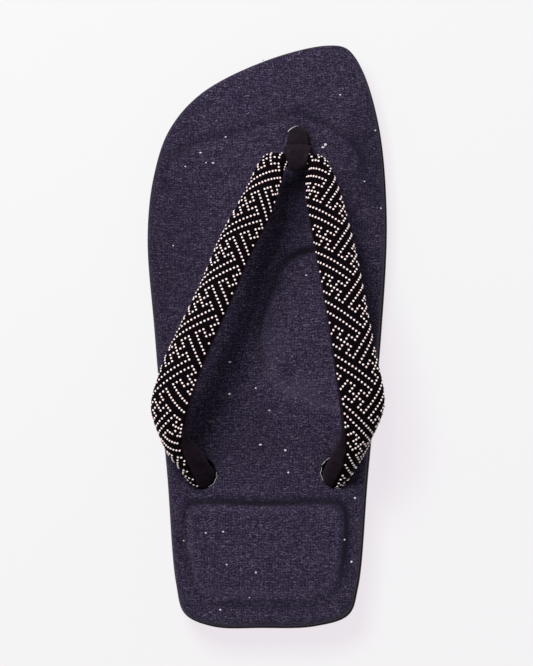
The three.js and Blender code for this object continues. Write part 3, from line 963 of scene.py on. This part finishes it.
# Legs: first and last row of the strap, sign of the way across, sign of the grid's first axis along,
# where one cross sits (along from the first row, across from the middle of the face), and the slant.
LEGS = {
    "lateral": (11.3, 1.0, 1, -1, 69.4, 9.3, 0.265),
    "medial": (12.7, 23.0, -1, 1, 43.7, -5.1, -0.05),
}


def arm_cells():
    """The grid cells along one arm of a cross."""
    for start, end in zip(FRET_ARM, FRET_ARM[1:]):
        steps = max(abs(end[0] - start[0]), abs(end[1] - start[1]))
        for k in range(steps + 1):
            yield (start[0] + (end[0] - start[0]) * k // steps,
                   start[1] + (end[1] - start[1]) * k // steps)


def fret_cells():
    """The grid cells that hold a dot, in one repeat of four crosses, every other one mirrored."""
    cells = set()
    for i, j in ((0, 0), (0, 1), (1, 0), (1, 1)):
        mirror = 1 if i == j else -1
        for column, row in arm_cells():
            for _ in range(FRET_ARMS):
                column, row = -row, column
                cells.add(((i * FRET_SPACING + mirror * column) % FRET_REPEAT,
                           (j * FRET_SPACING + row) % FRET_REPEAT))
    return cells


FACE_MIDDLE = math.pi / 2
LEG_STEPS = 500
SECTION_STEPS = 120
COVER_MARGIN = 0.1
GRID_REACH = 90
FACE_REACH = 20
# Rings of a dot from its foot upward: share of its radius, rise over the cover.
DOT_RINGS = [(1.0, -0.12), (0.92, 0.45 * DOT_RISE), (0.5, 0.92 * DOT_RISE)]
# Steps along and round the strap that give the way a dot faces.
SHARE_STEP = 1e-3
ANGLE_STEP = 1e-2


def running_length(points):
    """The length of a path from its first point to each of its points."""
    return np.append(0, np.cumsum(np.linalg.norm(np.diff(points, axis=0), axis=1)))


def fret_places(first_row, last_row, along_sign, along_start, across_start, slant):
    """Shares along a leg of the strap and lengths across its face, for each dot of the fret."""
    rows = np.linspace(first_row, last_row, LEG_STEPS) / (len(STRAP_ROWS) - 1)
    length = running_length(strap_points(rows, np.full(len(rows), FACE_MIDDLE)))
    cells = fret_cells()
    grid = range(-GRID_REACH, GRID_REACH + 1)
    diagonal = DOT_PITCH / math.sqrt(2)
    places = []
    for column in grid:
        for row in grid:
            if (column % FRET_REPEAT, row % FRET_REPEAT) not in cells:
                continue
            across = across_start + (column - along_sign * row) * diagonal
            along = along_start + (row + along_sign * column) * diagonal - slant * across
            if 0 < along < length[-1] and abs(across) < FACE_REACH:
                places.append((np.interp(along, length, rows), across))
    return places


def leg_places(first_row, last_row, across_sign, along_sign, along_start, across_start, slant):
    """Shares and angles of a leg's dots, laid out by length along and across its face."""
    angles = np.linspace(COVER_OUTER + COVER_MARGIN, COVER_INNER - COVER_MARGIN, SECTION_STEPS)
    found = []
    places = fret_places(first_row, last_row, along_sign, along_start, across_start, slant)
    for share, across in places:
        reach = running_length(strap_points(np.full(len(angles), share), angles))
        reach = (reach - np.interp(FACE_MIDDLE, angles, reach)) * across_sign
        order = np.argsort(reach)
        angle = np.interp(across, reach[order], angles[order])
        inner = cover_inner(np.array([share]))[0] - COVER_MARGIN
        if reach[order[0]] < across < reach[order[-1]] and angle < inner:
            found.append((share, angle))
    return np.array(found)


def dot_part(middle, out, along, side):
    """One raised round dot."""
    spin = np.arange(DOT_SIDES) * 2 * math.pi / DOT_SIDES
    circle = DOT_RADIUS * (np.outer(np.cos(spin), along) + np.outer(np.sin(spin), side))
    rings = [middle + out * rise + circle * share for share, rise in DOT_RINGS]
    tip = (middle + out * DOT_RISE)[None]
    first = (len(DOT_RINGS) - 1) * DOT_SIDES
    faces = ring_faces(len(DOT_RINGS), DOT_SIDES)
    faces.append(tuple(range(DOT_SIDES - 1, -1, -1)))
    for i in range(DOT_SIDES):
        faces.append((first + i, first + (i + 1) % DOT_SIDES, first + DOT_SIDES))
    return np.vstack(rings + [tip]), faces


def dot_frames(shares, angles):
    """The middle of each dot, with the ways out of the strap, along it and across it."""
    middle = strap_points(shares, angles)
    ahead = strap_points(shares + SHARE_STEP, angles)
    along = unit(ahead - strap_points(shares - SHARE_STEP, angles))
    onward = strap_points(shares, angles + ANGLE_STEP)
    around = unit(onward - strap_points(shares, angles - ANGLE_STEP))
    out = unit(np.cross(along, around))
    face = strap_points(shares, np.full(len(shares), FACE_MIDDLE))
    behind = strap_points(shares, np.full(len(shares), -FACE_MIDDLE))
    core = (face + behind) / 2
    out *= np.sign(np.sum(out * (middle - core), axis=1))[:, None]
    return zip(middle, out, along, np.cross(out, along))


def dots():
    """All the dots of both legs in one piece."""
    parts = []
    for leg in LEGS.values():
        shares, angles = leg_places(*leg).T
        parts.extend(dot_part(*dot) for dot in dot_frames(shares, angles))
    return join_parts("strap_dots", parts)


# Toe thong

THONG_VOXEL = 0.42
THONG_SIDES = 48
LOOP_SECTIONS = 17
LOOP_INNER_SECTIONS = 5
THONG_SMOOTHING = 3
THONG_WELD = 0.001
# Painted shade: the stem is drawn darker than the loop, most of all in the crease where they meet at
# this y.
THONG_CREASE = 86
CREASE_WIDTH = 1.1
PAINTED_CREASE_SHADE = 0.75
PAINTED_STEM_SHADE = 0.3


def loop_ring(across, half_y, half_z):
    """One round of the loop, narrower by the taper at its back."""
    angles = np.arange(THONG_SIDES) * 2 * math.pi / THONG_SIDES
    return np.column_stack([
        LOOP["x"] + LOOP["half_width"] * across * (1 + LOOP["taper"] * np.cos(angles)),
        LOOP["y"] + half_y * np.cos(angles),
        LOOP["z"] + half_z * np.sin(angles)])


def toe_loop():
    """The loop's outer skin from side to side and its inner skin back again."""
    sections = np.sin(np.linspace(-math.pi / 2, math.pi / 2, LOOP_SECTIONS))
    shares = LOOP_EDGE_SHARE + (1 - LOOP_EDGE_SHARE) * np.sqrt(1 - sections**2)
    outer = [loop_ring(a, LOOP["half_y"] * s, LOOP["half_z"] * s) for a, s in zip(sections, shares)]
    inner = [loop_ring(a, LOOP["half_y"] - LOOP["wall"], LOOP["half_z"] - LOOP["wall"])
             for a in np.linspace(1, -1, LOOP_INNER_SECTIONS)]
    rings = outer + inner + [outer[0]]
    return np.vstack(rings), ring_faces(len(rings), THONG_SIDES)


def toe_stem():
    """The stem that leans forward from the loop into the front hole."""
    angles = np.arange(THONG_SIDES) * 2 * math.pi / THONG_SIDES
    rings = []
    for y, z, half_x, half_y, lean in STEM_ROWS:
        reach = half_y * np.sin(angles)
        rings.append(np.column_stack([
            HOLES["front"][0] + half_x * np.cos(angles),
            y + reach * math.cos(lean),
            z + reach * math.sin(lean)]))
    return np.vstack(rings), capped_faces(len(rings), THONG_SIDES)


def apply_modifier(piece, kind, **settings):
    """Changes a piece's mesh by a modifier for good."""
    modifier = piece.modifiers.new(kind.lower(), kind)
    for name, value in settings.items():
        setattr(modifier, name, value)
    graph = bpy.context.evaluated_depsgraph_get()
    made = bpy.data.meshes.new_from_object(piece.evaluated_get(graph))
    piece.modifiers.clear()
    piece.data = made


def toe_thong():
    """Loop and stem fused to one soft form."""
    piece = join_parts("toe_thong_suede", [toe_loop(), toe_stem()])
    weld(piece, THONG_WELD)
    apply_modifier(piece, "REMESH", mode="VOXEL", voxel_size=THONG_VOXEL * MM)
    apply_modifier(piece, "SMOOTH", factor=0.5, iterations=THONG_SMOOTHING)
    piece.data.shade_smooth()
    # Painted shade: darker over the stem, darkest in its crease with the loop.
    beyond = mesh_points(piece)[:, 1] - THONG_CREASE
    stem = smoothstep(beyond, -CREASE_WIDTH, CREASE_WIDTH)
    store_painted_light_shade(piece, PAINTED_STEM_SHADE * stem + PAINTED_CREASE_SHADE * hump(beyond, CREASE_WIDTH))
    return piece


# Floor, light and camera

TOE_WAY = (0, 1, 0)
FLOOR_HALF = 4000
FLOOR_COLOUR = (0.104, 0.144, 0.104, 1)
FLOOR_GLOW = (1.0, 0.928, 1.0, 1)
FLOOR_GLOW_STRENGTH = 0.791


def floor():
    """A pale floor, lit a little from within so that its shadows stay faint."""
    corners = [(FLOOR_HALF * x, FLOOR_HALF * y, 0) for x, y in ((-1, -1), (1, -1), (1, 1), (-1, 1))]
    piece = new_piece("floor", corners, [(0, 1, 2, 3)])
    material, _, _ = new_material(
        "pale_floor", base_color=FLOOR_COLOUR, roughness=1.0, specular_ior_level=0.0,
        emission_color=FLOOR_GLOW, emission_strength=FLOOR_GLOW_STRENGTH)
    piece.data.materials.append(material)


def aim(thing, spot, target):
    """Puts a lamp or camera at a spot and points it at a target, with the toe end up in its view."""
    back = (Vector(spot) - Vector(target)).normalized()
    right = Vector(TOE_WAY).cross(back).normalized()
    turn = Matrix((right, back.cross(right), back)).transposed()
    thing.matrix_world = Matrix.Translation(Vector(spot) * MM) @ turn.to_4x4()


LAMP_WATTS = 10.4
LAMP_WIDTH_METRES = 0.4
LAMP_PLACE = (-225, 385, 900)
LAMP_TARGET = (0, 0, 20)
SKY_COLOUR = (0.97, 0.98, 1.0, 1)
SKY_STRENGTH = 0.40


def lights():
    """One soft lamp over the outer side of the toe, and even white surroundings."""
    light = bpy.data.lights.new("key", "AREA")
    light.energy = LAMP_WATTS
    light.size = LAMP_WIDTH_METRES
    lamp = bpy.data.objects.new("key", light)
    bpy.context.scene.collection.objects.link(lamp)
    aim(lamp, LAMP_PLACE, LAMP_TARGET)
    world = bpy.data.worlds.new("studio")
    world.use_nodes = True
    background = world.node_tree.nodes["Background"]
    background.inputs["Color"].default_value = SKY_COLOUR
    background.inputs["Strength"].default_value = SKY_STRENGTH
    bpy.context.scene.world = world
    bpy.context.scene.view_settings.view_transform = "Standard"


CAMERA_PLACE = (70, -150, 1217)
CAMERA_TARGET = (0, 0, 17)
SHOE_LENGTH = 270
FRAME_SHARE = 0.88
SENSOR = 36
CLIP_END_METRES = 20


def camera():
    """The photograph's view of the one shoe, with its length filling a share of the frame."""
    data = bpy.data.cameras.new("camera")
    distance = (Vector(CAMERA_PLACE) - Vector(CAMERA_TARGET)).length
    data.sensor_width = SENSOR
    data.lens = SENSOR * distance * FRAME_SHARE / SHOE_LENGTH
    data.clip_end = CLIP_END_METRES
    viewer = bpy.data.objects.new("camera", data)
    bpy.context.scene.collection.objects.link(viewer)
    aim(viewer, CAMERA_PLACE, CAMERA_TARGET)
    bpy.context.scene.camera = viewer


# The sandal

camera()
cloth = cloth_material()
pale_yarn = thread_material()
lining_suede = suede_material("lining_suede", LINING_DARK, LINING_LIGHT)
thong_suede = suede_material("thong_suede", THONG_DARK, THONG_LIGHT)

place(outsole(), "outsole", rubber_material(), "outsole")
place(heel_lift(), "heel_lift", leather_material(), "heel_lift")
bed = place(footbed(), "footbed", cloth, "footbed")
place(neps(), "footbed", pale_yarn)
place(frays(), "footbed", pale_yarn)
tube = place(strap(cover_material(), lining_suede), "strap", None, "strap")
place(dots(), "strap", dot_material())
place(toe_thong(), "toe_thong", thong_suede, "toe_thong")
floor()
lights()
